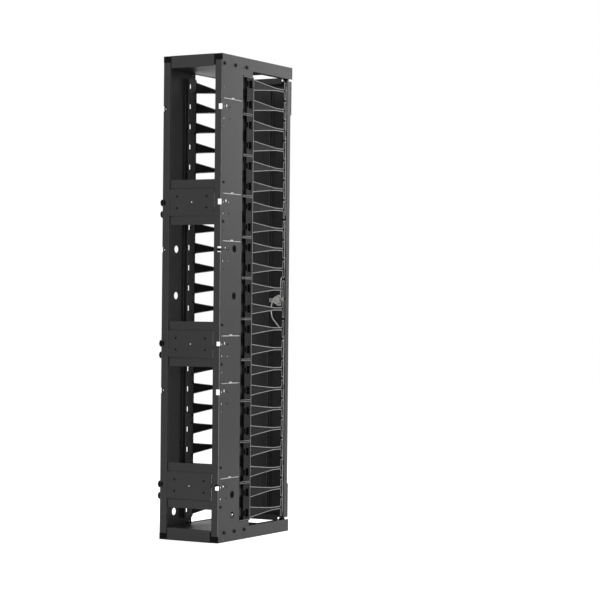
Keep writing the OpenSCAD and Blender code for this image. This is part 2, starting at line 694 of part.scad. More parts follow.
// ---------- Latch ----------
// Round bearing on the inner face, with a neck that passes the door
module latch_housing() {
    y0 = door_front + thin_sheet;
    color([0.5, 0.5, 0.51]) translate([-handle_x, 0, handle_z]) difference() {
        union() {
            bore_y([0, door_front, 0], housing_neck, thin_sheet + 1);
            bore_y([0, y0, 0], housing_d, cam_y - 1 - y0);
            translate([-23, y0, -plate_screw_z - 6]) cube([46, 3, 2 * plate_screw_z + 12]);
        }
        bore_y([0, door_front - 1, 0], spindle_d + 2 * run_gap, 40);
        for (dz = [-1, 1]) bore_y([0, y0 - 1, dz * plate_screw_z], plate_screw_d + 2 * run_gap, 8);
    }
}
module handle_escutcheon() {
    color([0.05, 0.05, 0.05]) translate([-handle_x, door_front - plate_t, handle_z]) difference() {
        union() {
            translate([-plate_w / 2, 0, -plate_screw_z]) cube([plate_w, plate_t, 2 * plate_screw_z]);
            for (dz = [-1, 1]) bore_y([0, 0, dz * plate_screw_z], plate_w, plate_t);
        }
        bore_y([0, -1, 0], spindle_d + 2 * run_gap, plate_t + 2);
        for (dz = [-1, 1]) bore_y([0, -1, dz * plate_screw_z], plate_screw_d + 2 * run_gap, plate_t + 2);
    }
}
module escutcheon_screws() {
    color([0.1, 0.1, 0.1]) for (dz = [-1, 1])
        translate([-handle_x, door_front, handle_z + dz * plate_screw_z]) {
            bore_y([0, -plate_t - 2, 0], 2 * plate_screw_d, 2);
            bore_y([0, -plate_t, 0], plate_screw_d, plate_t + thin_sheet + 3);
        }
}
// Lever on the outside; it hangs down when latched and sits on the square end of the spindle
module door_handle() {
    grip = handle_len - handle_w / 2;
    color([0.04, 0.04, 0.04]) translate([-handle_x, handle_back - 12, handle_z]) difference() {
        union() {
            bore_y([0, 0, 0], handle_w + 6, 12);
            translate([-handle_w / 2, 0, -grip]) cube([handle_w, 9, grip]);
            bore_y([0, 0, -grip], handle_w, 9);
        }
        translate([-square / 2, 6, -square / 2]) cube([square, 8, square]);
    }
}
module handle_spindle() {
    color([0.55, 0.55, 0.57]) translate([-handle_x, 0, handle_z]) {
        translate([-square / 2, handle_back - 6, -square / 2])
            cube([square, cam_y + cam_t - handle_back + 6, square]);
        bore_y([0, handle_back, 0], spindle_d, cam_y - handle_back);
        bore_y([0, cam_y, 0], stub_d, cam_t + 6);
    }
}
// Two-armed cam; each arm has a slot for the hooked end of a rod
module latch_cam() {
    slot_in = arm - rod_d / 2 - 0.5;
    slot_out = arm / cos(cam_turn) + rod_d / 2 + 1;
    color([0.5, 0.5, 0.51]) translate([-handle_x, cam_y, handle_z]) difference() {
        union() {
            bore_y([0, 0, 0], cam_disc, cam_t);
            for (a = [0, 180]) rotate([0, a, 0])
                translate([0, 0, -slot_w / 2 - 3]) cube([slot_out + 3, cam_t, slot_w + 6]);
        }
        translate([-square / 2, -1, -square / 2]) cube([square, cam_t + 2, square]);
        for (a = [0, 180]) rotate([0, a, 0])
            translate([slot_in, -1, -slot_w / 2]) cube([slot_out - slot_in, cam_t + 2, slot_w]);
    }
}
module cam_nut() {
    color([0.6, 0.6, 0.62]) translate([-handle_x, cam_y + cam_t, handle_z]) difference() {
        rotate([-90, 0, 0]) cylinder(d = 15, h = 5, $fn = 6);
        bore_y([0, -1, 0], stub_d + 2 * run_gap, 7);
    }
}

// Round bar through the points p; each bend is a ball a little thicker than the bar
module rod(p) {
    for (i = [0:len(p) - 2]) {
        v = p[i + 1] - p[i];
        translate(p[i]) rotate([0, acos(v[2] / norm(v)), atan2(v[1], v[0])]) cylinder(d = rod_d, h = norm(v));
    }
    for (i = [1:len(p) - 2]) translate(p[i]) sphere(d = rod_d + bend_ball);
}
// Each rod hooks through a slot of the cam, runs along the inner face and then up or down the door edge
module upper_rod() {
    x0 = -handle_x - arm;
    color([0.55, 0.55, 0.57]) rod([
        [x0, hook_y, handle_z], [x0, pin_y, handle_z], [x0, pin_y, handle_z + 98],
        [-pin_x, pin_y, handle_z + 135], [-pin_x, pin_y, height - plate_z + rod_reach]]);
}
module lower_rod() {
    x0 = -handle_x + arm;
    color([0.55, 0.55, 0.57]) rod([
        [x0, hook_y, handle_z], [x0, pin_y, handle_z], [x0 + 9, pin_y, handle_z - 28],
        [x0 + 5, pin_y, handle_z - 76], [x0 - 36, pin_y, handle_z - 122],
        [-pin_x, pin_y, handle_z - 155], [-pin_x, pin_y, plate_z - rod_reach]]);
}

bottom_pan();
top_pan();
side_panel_left();
side_panel_right();
corner_caps_bottom();
corner_caps_top();
corner_cap_screws();
marker_clips();
side_panel_bolts();
cross_panel_upper();
cross_panel_middle();
cross_panel_lower();
cross_panel_bolts();
baying_knobs();
for (i = [1:module_count]) {
    finger_module(i);
    mirror([1, 0, 0]) finger_module(i);
}
module_screws_left();
module_screws_right();
hinge_pin_top();
hinge_pin_bottom();
latch_strike_top();
latch_strike_bottom();
door_panel();
door_stiffener();
door_end_top();
door_end_bottom();
hinge_bushes();
rod_end_guides();
rod_guides();
latch_housing();
handle_escutcheon();
escutcheon_screws();
door_handle();
handle_spindle();
latch_cam();
cam_nut();
upper_rod();
lower_rod();
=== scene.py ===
import json
import math
import bmesh
import bpy
import numpy as np
from mathutils import Matrix, Vector


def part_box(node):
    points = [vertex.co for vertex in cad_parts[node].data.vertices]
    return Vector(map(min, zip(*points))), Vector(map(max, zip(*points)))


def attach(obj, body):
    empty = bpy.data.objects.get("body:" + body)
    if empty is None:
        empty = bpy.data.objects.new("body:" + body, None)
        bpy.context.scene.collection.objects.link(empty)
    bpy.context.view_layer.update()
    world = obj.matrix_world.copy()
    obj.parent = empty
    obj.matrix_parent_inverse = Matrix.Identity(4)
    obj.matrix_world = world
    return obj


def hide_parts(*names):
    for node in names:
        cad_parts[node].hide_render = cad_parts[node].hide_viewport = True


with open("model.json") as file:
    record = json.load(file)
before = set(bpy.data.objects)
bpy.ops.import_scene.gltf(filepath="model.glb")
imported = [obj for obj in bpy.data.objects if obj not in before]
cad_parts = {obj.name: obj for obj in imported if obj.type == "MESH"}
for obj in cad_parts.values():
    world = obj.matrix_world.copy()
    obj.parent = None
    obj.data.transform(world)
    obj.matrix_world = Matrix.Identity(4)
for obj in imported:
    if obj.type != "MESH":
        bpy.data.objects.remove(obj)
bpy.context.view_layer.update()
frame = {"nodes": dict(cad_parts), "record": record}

nodes = frame["nodes"]
record = frame["record"]
bodyOf = {n: b for b, names in record["behaviour"]["bodies"].items() for n in names}
slotOf = {s["node"]: s["material_slot"] for s in record["subparts"]}
print("frame loaded:", len(nodes), "nodes")

camera = {
    "place": (-4.65468, 7.47510, 1.00572),
    "forward": (0.49727, -0.86758, 0.00403),
    "roll": 0.532,      # degrees about the line of sight
    "lens": 119.34,
    "sensor": 36.0,
}


def aimCamera(c):
    # right lies level and square to forward, then both turn by the roll
    f = Vector(c["forward"]).normalized()
    right = f.cross(Vector((0, 0, 1))).normalized()
    up = right.cross(f)
    r = math.radians(c["roll"])
    right, up = right * math.cos(r) + up * math.sin(r), up * math.cos(r) - right * math.sin(r)
    data = bpy.data.cameras.new("camera")
    data.lens = c["lens"]
    data.sensor_width = c["sensor"]
    data.clip_end = 60
    seen = bpy.data.objects.new("camera", data)
    turn = Matrix((right, up, -f)).transposed().to_4x4()
    seen.matrix_world = Matrix.Translation(c["place"]) @ turn
    bpy.context.scene.collection.objects.link(seen)
    bpy.context.scene.camera = seen


aimCamera(camera)
bpy.context.scene.view_settings.view_transform = "Standard"
print("camera set")


class Signal:
    # a socket that takes part in Python expressions: each operator adds one Math node
    def __init__(self, finish, socket):
        self.finish = finish
        self.socket = socket

    def mathWith(self, operation, a, b):
        return self.finish.add("ShaderNodeMath", {"operation": operation}, {0: a, 1: b}).out()

    def __add__(self, b): return self.mathWith("ADD", self, b)
    def __radd__(self, a): return self.mathWith("ADD", a, self)
    def __sub__(self, b): return self.mathWith("SUBTRACT", self, b)
    def __rsub__(self, a): return self.mathWith("SUBTRACT", a, self)
    def __mul__(self, b): return self.mathWith("MULTIPLY", self, b)
    def __rmul__(self, a): return self.mathWith("MULTIPLY", a, self)
    def atLeast(self, b): return self.mathWith("MAXIMUM", self, b)
    def atMost(self, b): return self.mathWith("MINIMUM", self, b)
    def above(self, b): return self.mathWith("GREATER_THAN", self, b)
    def below(self, b): return self.mathWith("LESS_THAN", self, b)


class Added:
    # one node of a finish
    def __init__(self, finish, node):
        self.finish = finish
        self.node = node

    def out(self, name=0):
        return Signal(self.finish, self.node.outputs[name])


class Finish:
    # the node tree of a material, or of the world
    def __init__(self, owner, end="ShaderNodeOutputMaterial"):
        owner.use_nodes = True
        self.owner = owner
        self.tree = owner.node_tree
        self.tree.nodes.clear()
        self.end = self.tree.nodes.new(end)

    def add(self, kind, settings=None, values=None):
        node = self.tree.nodes.new(kind)
        for key, value in (settings or {}).items():
            if key == "stops":
                ramp = node.color_ramp
                while len(ramp.elements) < len(value):
                    ramp.elements.new(0.5)
                for stop, (at, level) in zip(ramp.elements, value):
                    stop.position = at
                    stop.color = (level, level, level, 1)
            else:
                setattr(node, key, value)
        for key, value in (values or {}).items():
            if isinstance(value, Signal):
                self.tree.links.new(value.socket, node.inputs[key])
            else:
                node.inputs[key].default_value = value
        return Added(self, node)

    def place(self):
        return self.add("ShaderNodeTexCoord").out("Object")

    def noise(self, scale, detail=3.0, rough=0.55, squash=None):
        at = self.place()
        if squash:
            at = self.add("ShaderNodeMapping", {}, {"Vector": at, "Scale": squash}).out()
        return self.add("ShaderNodeTexNoise", {}, {
            "Vector": at, "Scale": scale, "Detail": detail, "Roughness": rough}).out("Fac")

    def ramp(self, value, stops):
        return self.add("ShaderNodeValToRGB", {"stops": stops}, {"Fac": value}).out("Color")

    def mixColour(self, amount, a, b):
        return self.add("ShaderNodeMix", {"data_type": "RGBA"}, {0: amount, 6: a, 7: b}).out(2)

    def bump(self, height, strength, distance):
        return self.add("ShaderNodeBump", {}, {
            "Height": height, "Strength": strength, "Distance": distance}).out()

    def close(self, signal):
        self.tree.links.new(signal.socket, self.end.inputs["Surface"])
        return self.owner

    def surface(self, values):
        return self.close(self.add("ShaderNodeBsdfPrincipled", {}, values).out())

    def seenDirectly(self):
        # 1 for rays that come from the camera, a mirror or glass
        path = self.add("ShaderNodeLightPath")
        seen = path.out("Is Camera Ray").atLeast(path.out("Is Glossy Ray"))
        return seen.atLeast(path.out("Is Transmission Ray"))


def grey(level, tint=(1.0, 1.0, 1.0)):
    return (level * tint[0], level * tint[1], level * tint[2], 1.0)


def newFinish(name):
    return Finish(bpy.data.materials.new(name))


# level and patch are the two greys of a finish; spread is how far its roughness varies
cool, warm = (0.98, 1.0, 1.02), (1.02, 1.0, 0.97)
edgeStep = 2500      # a painted highlight comes up over 0.4 mm
coat = {
    "level": 0.008, "patch": 0.013, "roughness": 0.38, "spread": 0.10, "shine": 0.36,
    "grain": 900, "peel": 260, "cloud": 3.2, "rub": 9.0, "highlightPatches": 26.0, "bump": 0.12, "relief": 0.0004,
    "web": 0.1502, "highlightTone": 0.42,             # |x| past which the pressed lines get a painted highlight, and its grey
    "corner": 0.4466, "cornerHighlightGrey": 0.17,     # the painted highlight on the bends of the rear corners, past |x| + y, and its grey
}
# its rims are proud of |x| = outer and inner and get the grey rim as a painted highlight; the next line gives
# the hollow behind the skin, inside an |x| and between two places in y, which is painted darker as shade
finger = {
    "level": 0.005, "patch": 0.008, "roughness": 0.44, "spread": 0.12, "shine": 0.08,
    "grain": 1400, "flow": 22, "highlightPatches": 34.0,
    "rim": 0.30, "rimRough": 0.30, "outer": 0.1501, "inner": 0.1447, "rimDepth": 0.002,
    "deep": 0.1492, "deepFrom": 0.041, "deepTo": 0.068, "deepLevel": 0.0015, "deepRough": 0.9,
}
rubbery = {"level": 0.0025, "patch": 0.0045, "roughness": 0.55, "spread": 0.10, "grain": 1500, "shine": 0.05}
handleGloss = {"level": 0.014, "patch": 0.020, "roughness": 0.26, "spread": 0.10, "grain": 1200}
paleNylon = {"level": 0.55, "patch": 0.62, "roughness": 0.45, "spread": 0.10, "grain": 1500}
oxide = {"level": 0.003, "patch": 0.007, "roughness": 0.36, "spread": 0.14, "grain": 700, "cloud": 60.0,
         "metal": 0.1, "shine": 0.15}
zinc = {
    "level": 0.40, "patch": 0.58, "roughness": 0.34, "spread": 0.18, "spangle": 160, "cloud": 25.0,
    "draw": 500, "stretch": 0.04, "shadeFrom": 0.131, "shadeShare": 0.55, "shadeLevel": 0.02,
}
castZinc = {"level": 0.52, "patch": 0.68, "roughness": 0.42, "spread": 0.16, "grain": 600, "cloud": 40.0,
            "metal": 0.9}


def roughness(cloud, c, extra=0.0):
    # swings by half the spread to each side of the mean
    return cloud * c["spread"] + extra + (c["roughness"] - c["spread"] * 0.5)


def acrossAndBack(f):
    # the distance |x| from the middle plane, and y
    parted = f.add("ShaderNodeSeparateXYZ", {}, {"Vector": f.place()})
    return f.add("ShaderNodeMath", {"operation": "ABSOLUTE"}, {0: parted.out("X")}).out(), parted.out("Y")


def past(value, start):
    # 0 up to start, then up to 1 over the edge step
    return ((value - start) * edgeStep).atLeast(0.0).atMost(1.0)


def powderCoat(name, c):
    # black powder coat: a fine grain over a soft orange peel, with faint dust and handling marks;
    # the proud pressed lines and the bends at the rear corners are painted lighter in patches, a painted
    # highlight
    f = newFinish(name)
    cloud = f.noise(c["cloud"], 4.0)
    fine = f.noise(c["grain"], 2.0)
    peel = f.noise(c["peel"], 2.0)
    rub = f.ramp(f.noise(c["rub"], 6.0, 0.7), [(0.46, 0.0), (0.72, 1.0)])
    dust = f.ramp(fine * 0.35 + cloud * 0.65, [(0.38, 0.0), (0.66, 1.0)])
    colour = f.mixColour(dust, grey(c["level"], (0.97, 0.99, 1.03)), grey(c["patch"], warm))
    x, y = acrossAndBack(f)
    # patches that break up the painted highlights
    highlightPatches = f.ramp(f.noise(c["highlightPatches"], 4.0), [(0.30, 0.6), (0.60, 1.0)])
    # painted highlight on the bends of the rear corners
    colour = f.mixColour(past(x + y, c["corner"]) * highlightPatches, colour, grey(c["cornerHighlightGrey"]))
    # painted highlight on the beads of the pressed lines, which stand past the web
    colour = f.mixColour(past(x, c["web"]) * highlightPatches, colour, grey(c["highlightTone"]))
    return f.surface({"Base Color": colour, "Roughness": roughness(cloud, c, rub * 0.06),
                      "Specular IOR Level": c["shine"],
                      "Normal": f.bump(fine * 0.5 + peel * 0.5, c["bump"], c["relief"])})


def mouldedPlastic(name, c):
    # moulded nylon: a spark-eroded grain and faint flow marks along the piece
    f = newFinish(name)
    flow = f.noise(c.get("flow", 14), 3.0, 0.6, squash=(1.0, 0.35, 1.0))
    fine = f.noise(c["grain"], 2.0)
    colour = f.mixColour(flow, grey(c["level"]), grey(c["patch"], (1.03, 1.0, 0.98)))
    return f.surface({"Base Color": colour, "Roughness": roughness(flow, c, fine * 0.06),
                      "Specular IOR Level": c.get("shine", 0.4), "Normal": f.bump(fine, 0.10, 0.0003)})


def fingerNylon(name, c):
    # moulded nylon whose proud rims, just outside the two faces, are smoother and painted lighter as a
    # painted highlight, and whose inner walls in the hollow behind the skin are rougher and painted near
    # black as painted shade
    f = newFinish(name)
    flow = f.noise(c["flow"], 3.0, 0.6, squash=(1.0, 0.35, 1.0))
    fine = f.noise(c["grain"], 2.0)
    x, y = acrossAndBack(f)
    # the rims get a painted highlight, lighter grey in patches
    highlightTone = f.ramp(f.noise(c["highlightPatches"], 3.0), [(0.30, 0.75), (0.62, 1.0)])
    proud = past(x, c["outer"]) + past(c["inner"], x) * x.above(c["inner"] - c["rimDepth"])
    # the hollow behind the skin, whose darker colour is painted shade
    deep = x.below(c["deep"]) * y.above(c["deepFrom"]) * y.below(c["deepTo"])
    rimHighlight = proud * highlightTone * (1 - deep)
    plain = f.mixColour(flow, grey(c["level"]), grey(c["patch"], (1.03, 1.0, 0.98)))
    plain = f.mixColour(deep, plain, grey(c["deepLevel"]))
    colour = f.mixColour(rimHighlight, plain, grey(c["rim"], (1.0, 1.0, 0.99)))
    rough = roughness(flow, c, fine * 0.06)
    rough = (rough * (1 - rimHighlight) + rimHighlight * c["rimRough"]).atLeast(deep * c["deepRough"])
    return f.surface({"Base Color": colour, "Roughness": rough, "Specular IOR Level": c["shine"],
                      "Normal": f.bump(fine, 0.10, 0.0003)})


def blackOxide(name, c):
    # oiled black oxide on bolts: darker and lighter patches with a tight grain
    f = newFinish(name)
    cloud = f.noise(c["cloud"], 4.0)
    fine = f.noise(c["grain"], 3.0)
    colour = f.mixColour(cloud, grey(c["level"]), grey(c["patch"], (1.04, 1.0, 0.95)))
    return f.surface({"Base Color": colour, "Roughness": roughness(cloud, c), "Metallic": c["metal"],
                      "Specular IOR Level": c["shine"], "Normal": f.bump(fine, 0.15, 0.0003)})


def zincPlate(name, c):
    # bright zinc: spangle patches from cells and fine drawn lines along the bar, with painted shade near the
    # door's edges
    f = newFinish(name)
    cells = f.add("ShaderNodeTexVoronoi", {}, {"Vector": f.place(), "Scale": c["spangle"]}).out("Distance")
    drawn = f.noise(c["draw"], 2.0, squash=(1.0, 1.0, c["stretch"]))
    cloud = f.noise(c["cloud"], 4.0)
    colour = f.mixColour((cells * 0.6 + cloud * 0.6).atMost(1.0), grey(c["level"], cool),
                         grey(c["patch"], (1.02, 1.0, 0.96)))
    x = acrossAndBack(f)[0]
    # painted shade: past a given |x| the colour goes part way to a dark grey
    colour = f.mixColour(x.above(c["shadeFrom"]) * c["shadeShare"], colour, grey(c["shadeLevel"]))
    return f.surface({"Base Color": colour, "Roughness": roughness(cloud, c, drawn * 0.10), "Metallic": 1.0,
                      "Normal": f.bump(drawn, 0.10, 0.0003)})


def castMetal(name, c):
    # die-cast zinc: soft mottling with a sandy grain
    f = newFinish(name)
    cloud = f.noise(c["cloud"], 5.0, 0.65)
    fine = f.noise(c["grain"], 3.0)
    colour = f.mixColour(cloud, grey(c["level"]), grey(c["patch"], warm))
    return f.surface({"Base Color": colour, "Roughness": roughness(cloud, c), "Metallic": c["metal"],
                      "Normal": f.bump(fine, 0.25, 0.0004)})


finishes = {
    "black_powder_coat": powderCoat("blackPowderCoat", coat),
    "finger_plastic": fingerNylon("fingerNylon", finger),
    "black_plastic": mouldedPlastic("blackNylon", rubbery),
    "black_fastener": blackOxide("blackOxide", oxide),
    "zinc_steel": zincPlate("zincPlate", zinc),
    "zinc_cast": castMetal("castZinc", castZinc),
    "handle_black": mouldedPlastic("handleBlack", handleGloss),
    "natural_nylon": mouldedPlastic("naturalNylon", paleNylon),
}
for name, obj in nodes.items():
    obj.data.materials.clear()
    obj.data.materials.append(finishes[slotOf[name]])
print("finishes made:", len(finishes))


def join(obj, node, hides=True):
    # a new piece takes its body, slot and material from the node that it stands for
    obj.data.materials.clear()
    obj.data.materials.append(finishes[slotOf[node]])
    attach(obj, bodyOf[node])
    if hides:
        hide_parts(node)
    return obj


def smoothFacets(obj, sharp):
    # faces that meet at less than the angle "sharp" shade as one surface
    for p in obj.data.polygons:
        p.use_smooth = True
    obj.data.set_sharp_from_angle(angle=math.radians(sharp))


softEdge = {"sheet": 0.0005, "block": 0.0008, "segments": 2, "sharp": 35.0, "flat": 1.0, "merge": 1e-6}


def softEdges(node, width):
    # a merged copy of the node's mesh with its flat faces joined and every sharp edge rounded
    mesh = nodes[node].data.copy()
    obj = bpy.data.objects.new(node + "_soft", mesh)
    bpy.context.scene.collection.objects.link(obj)
    bm = bmesh.new()
    bm.from_mesh(mesh)
    bmesh.ops.remove_doubles(bm, verts=bm.verts, dist=softEdge["merge"])
    flat = math.radians(softEdge["flat"])
    bmesh.ops.dissolve_limit(bm, angle_limit=flat, verts=bm.verts, edges=bm.edges)
    bm.to_mesh(mesh)
    bm.free()
    bevel = obj.modifiers.new("edges", "BEVEL")
    bevel.width = width
    bevel.segments = softEdge["segments"]
    bevel.limit_method = "ANGLE"
    bevel.angle_limit = math.radians(softEdge["sharp"])
    for p in mesh.polygons:
        p.use_smooth = True
    obj.modifiers.new("facets", "WEIGHTED_NORMAL").keep_sharp = True
    return join(obj, node)


def newObject(name, parts, sharp):
    # parts are (points, faces) pairs, joined into one mesh
    points, faces, start = [], [], 0
    for p, f in parts:
        points.append(p)
        faces += [[v + start for v in face] for face in f]
        start += len(p)
    mesh = bpy.data.meshes.new(name)
    mesh.from_pydata(np.concatenate(points).tolist(), [], faces)
    obj = bpy.data.objects.new(name, mesh)
    bpy.context.scene.collection.objects.link(obj)
    smoothFacets(obj, sharp)
    return obj


def shells(rings):
    # rings holds shells x rows x columns x 3: each shell is a grid whose columns close on themselves,
    # with one flat face over its first and its last row; a shell whose signed volume (the sum of
    # a . (b x c) / 6 over its corners) is negative has its columns turned round
    rings = np.array(rings, float)
    count, rows, cols = rings.shape[:3]
    start, end = rings[:, :1].mean(2, keepdims=True), rings[:, -1:].mean(2, keepdims=True)
    full = np.concatenate([np.repeat(start, cols, 2), rings, np.repeat(end, cols, 2)], 1)
    full = full - full.mean((1, 2), keepdims=True)
    nextCol = np.roll(full, -1, 2)
    a, b, c, d = full[:, :-1], nextCol[:, :-1], nextCol[:, 1:], full[:, 1:]
    volume = (np.cross(b, c) * a).sum((1, 2, 3)) + (np.cross(c, d) * a).sum((1, 2, 3))
    rings[volume < 0] = rings[volume < 0][:, :, ::-1]
    i, j = np.meshgrid(np.arange(rows - 1), np.arange(cols), indexing="ij")
    k = (j + 1) % cols
    quads = np.stack([i * cols + j, i * cols + k, (i + 1) * cols + k, (i + 1) * cols + j], -1).reshape(-1, 4)
    step = (np.arange(count) * rows * cols)[:, None, None]
    faces = (quads[None] + step).reshape(-1, 4).tolist()
    caps = np.stack([np.arange(cols)[::-1], (rows - 1) * cols + np.arange(cols)])
    faces += (caps[None] + step).reshape(-1, cols).tolist()
    return rings.reshape(-1, 3), faces


def shellMesh(name, rings, sharp=40.0):
    return newObject(name, [shells(rings)], sharp)


def tubeMesh(name, rings):
    # like shellMesh, but the last row joins the first, for rings with a hole through them
    rings = np.concatenate([rings, rings[:, :1]], 1)
    obj = shellMesh(name, rings, 40)
    bm = bmesh.new()
    bm.from_mesh(obj.data)
    bmesh.ops.delete(bm, geom=[f for f in bm.faces if len(f.verts) > 4], context="FACES_ONLY")
    bmesh.ops.remove_doubles(bm, verts=bm.verts, dist=1e-7)
    bmesh.ops.recalc_face_normals(bm, faces=bm.faces)
    bm.to_mesh(obj.data)
    bm.free()
    return obj


def bars(sections, z0, z1):
    # upright bars: each section (n x 2, places x and y) is carried from z0 to z1
    sections = np.array(sections, float)
    low = np.concatenate([sections, np.full(sections.shape[:2] + (1,), z0)], 2)
    high = np.concatenate([sections, np.full(sections.shape[:2] + (1,), z1)], 2)
    return shells(np.stack([low, high], 1))


def windowPlate(x0, x1, ys, zs, filled):
    # a plate between x0 and x1 made of the cells of a grid: every filled cell gets its two large faces,
    # and every border between a filled and an empty cell gets a wall
    filled = np.pad(np.array(filled, bool), 1)
    y, z = np.meshgrid(ys, zs, indexing="ij")
    points = np.concatenate([np.stack([np.full(y.size, x), y.ravel(), z.ravel()], 1) for x in (x0, x1)])
    cols, other = len(zs), y.size
    i, j = np.nonzero(filled[1:-1, 1:-1])
    at = i * cols + j
    cell = np.stack([at, at + cols, at + cols + 1, at + 1], 1)
    faces = [cell[:, ::-1], cell + other]
    for di, dj, a, b in ((-1, 0, 0, 1), (1, 0, 1 + cols, cols), (0, -1, cols, 0), (0, 1, 1, cols + 1)):
        edge = ~filled[i + 1 + di, j + 1 + dj]
        p, q = at[edge] + a, at[edge] + b
        faces.append(np.stack([p, q, q + other, p + other], 1))
    faces = np.concatenate(faces)
    return points, (faces if x1 > x0 else faces[:, ::-1]).tolist()


def turned(profile, places, axis, cols=24):
    # each row of profile is (radius, distance along the axis, corners): the radius is the same all round,
    # or, with n corners, the flat-to-flat half width over the cosine of the angle to the nearest flat
    r, along, corners = (np.array(v, float)[:, None] for v in zip(*profile))
    theta = np.linspace(0, 2 * np.pi, cols, endpoint=False)[None]
    sector = 2 * np.pi / np.maximum(corners, 1)
    flat = np.mod(theta, sector) - sector / 2
    r = np.where(corners > 0, r / np.cos(np.where(corners > 0, flat, 0)), r * np.ones_like(theta))
    w = np.array(axis, float)
    u = np.cross(w, (0, 0, 1) if abs(w[2]) < 0.5 else (1, 0, 0))
    v = np.cross(w, u)
    ring = along[..., None] * w + (r * np.cos(theta))[..., None] * u + (r * np.sin(theta))[..., None] * v
    return ring[None] + np.array(places, float)[:, None, None]


def roundedPath(points, cut, steps=8):
    # straight runs, and at each corner b a curve (1-t)^2 a + 2t(1-t) b + t^2 c between points that lie
    # "cut" away from it, or less on a short run
    p = np.array(points, float)
    a, b, c = p[:-2], p[1:-1], p[2:]
    back, ahead = a - b, c - b
    reach = np.minimum(np.linalg.norm(back, axis=1), np.linalg.norm(ahead, axis=1))[:, None] * 0.45
    reach = np.minimum(reach, cut)
    a = b + back / np.linalg.norm(back, axis=1)[:, None] * reach
    c = b + ahead / np.linalg.norm(ahead, axis=1)[:, None] * reach
    t = np.linspace(0, 1, steps)[None, :, None]
    curve = (1 - t) ** 2 * a[:, None] + 2 * t * (1 - t) * b[:, None] + t ** 2 * c[:, None]
    return np.concatenate([p[:1], curve.reshape(-1, 3), p[-1:]])


def alongPath(path, across, side, up):
    # carries a section (points across, columns x 2) along a path: path + side * x + up * y
    return (path[:, None] + side[:, None] * across[None, :, :1] + up[:, None] * across[None, :, 1:])[None]


def directions(path, helper):
    # the run of the path, then side = run x helper and up = side x run, all of length one
    run = np.gradient(path, axis=0)
    run /= np.linalg.norm(run, axis=1)[:, None]
    side = np.cross(run, helper)
    side /= np.linalg.norm(side, axis=1)[:, None]
    return side, np.cross(side, run)


def ringSection(radius, cols=16):
    theta = np.linspace(0, 2 * np.pi, cols, endpoint=False)
    return np.stack([radius * np.cos(theta), radius * np.sin(theta)], 1)


# places are y and heights are from the middle of the finger, in metres
fingers = {
    "pitch": 0.0889, "middle": 1.045, "modules": 11, "gap": 0.0008, "low": 0.0788, "high": 2.0112,
    "root": 0.0405, "front": 0.038, "taper": 0.196, "rootHalf": 0.0245, "tipHalf": 0.007, "power": 1.12,
    "neck": -0.223, "headEnd": -0.241, "headHalf": 0.039, "corner": 0.005, "plane": 0.1475,
    "rim": [(0.0041, 0.0010), (0.0041, 0.0022), (0.0037, 0.0029), (0.0030, 0.0034), (0.0021, 0.0036),
            (0.0012, 0.0034), (0.0005, 0.0028), (0.0001, 0.0019)],    # inset and half thickness
}
base = {
    "outer": 0.150, "inner": 0.147, "rail": 0.1305, "rear": 0.0955, "groove": 0.1273,
    "windowHalf": 0.017, "window": (0.053, 0.078), "notchHalf": 0.012, "notch": 0.082,
    "slope": [(0.1488, 0.0395), (0.1315, 0.0695), (0.1315, 0.0800)], "wall": 0.0018,
    "rib": 0.0024, "ribIn": 0.0018, "ribClear": 0.001,
    "bead": 0.0010, "beadWide": 0.0036, "beadFront": 0.003, "beadRear": 0.0005,
    "sink": 0.0003, "end": 0.0013, "endPast": 0.0006,
}


def fingerOutline(c, inset):
    # upper half: root to tip with half height tip + (root - tip)(1 - u)^1.12, a quarter arc up into the
    # head, then the two rounded corners of the head; the lower half is its mirror image
    u = np.linspace(0, 1, 13)
    taper = np.stack([c["root"] - (c["taper"] + c["root"] - c["front"]) * u,
                      c["tipHalf"] + (c["rootHalf"] - c["tipHalf"]) * (1 - u) ** c["power"] - inset], 1)
    turn = np.linspace(0, np.pi / 2, 5)
    hollow, r = c["corner"] + inset, c["corner"] - inset
    neck = np.stack([c["neck"] + c["corner"] - hollow * np.sin(turn),
                     c["tipHalf"] + c["corner"] - hollow * np.cos(turn)], 1)
    top = c["headHalf"] - c["corner"]
    near = np.stack([c["neck"] - c["corner"] + r * np.cos(turn), top + r * np.sin(turn)], 1)
    far = np.stack([c["headEnd"] + c["corner"] - r * np.sin(turn), top + r * np.cos(turn)], 1)
    half = np.concatenate([taper, neck, near, far])
    return np.concatenate([half, half[::-1] * (1, -1)])


def fingerRings(side, heights, c):
    # the outline at growing and shrinking insets: up from the pocket floor, round the rim, down to the
    # other floor
    profile = c["rim"] + [(i, -h) for i, h in c["rim"][::-1]]
    lines = np.stack([fingerOutline(c, row[0]) for row in profile])
    x = side * (c["plane"] + np.array([row[1] for row in profile]))[:, None] + np.zeros(lines.shape[:2])
    one = np.stack([x, lines[..., 0], lines[..., 1]], -1)
    return one[None] + np.array([(0, 0, z) for z in heights])[:, None, None]


def beadSection(x, side, height, width):
    # half a round: width/2 cos a across, height sin a outwards, closed a little below the surface
    a = np.linspace(0, np.pi, 7)
    across = np.append(0.5 * width * np.cos(a), 0.0)
    out = side * (x + height * np.append(np.sin(a), -0.5))
    return out, across


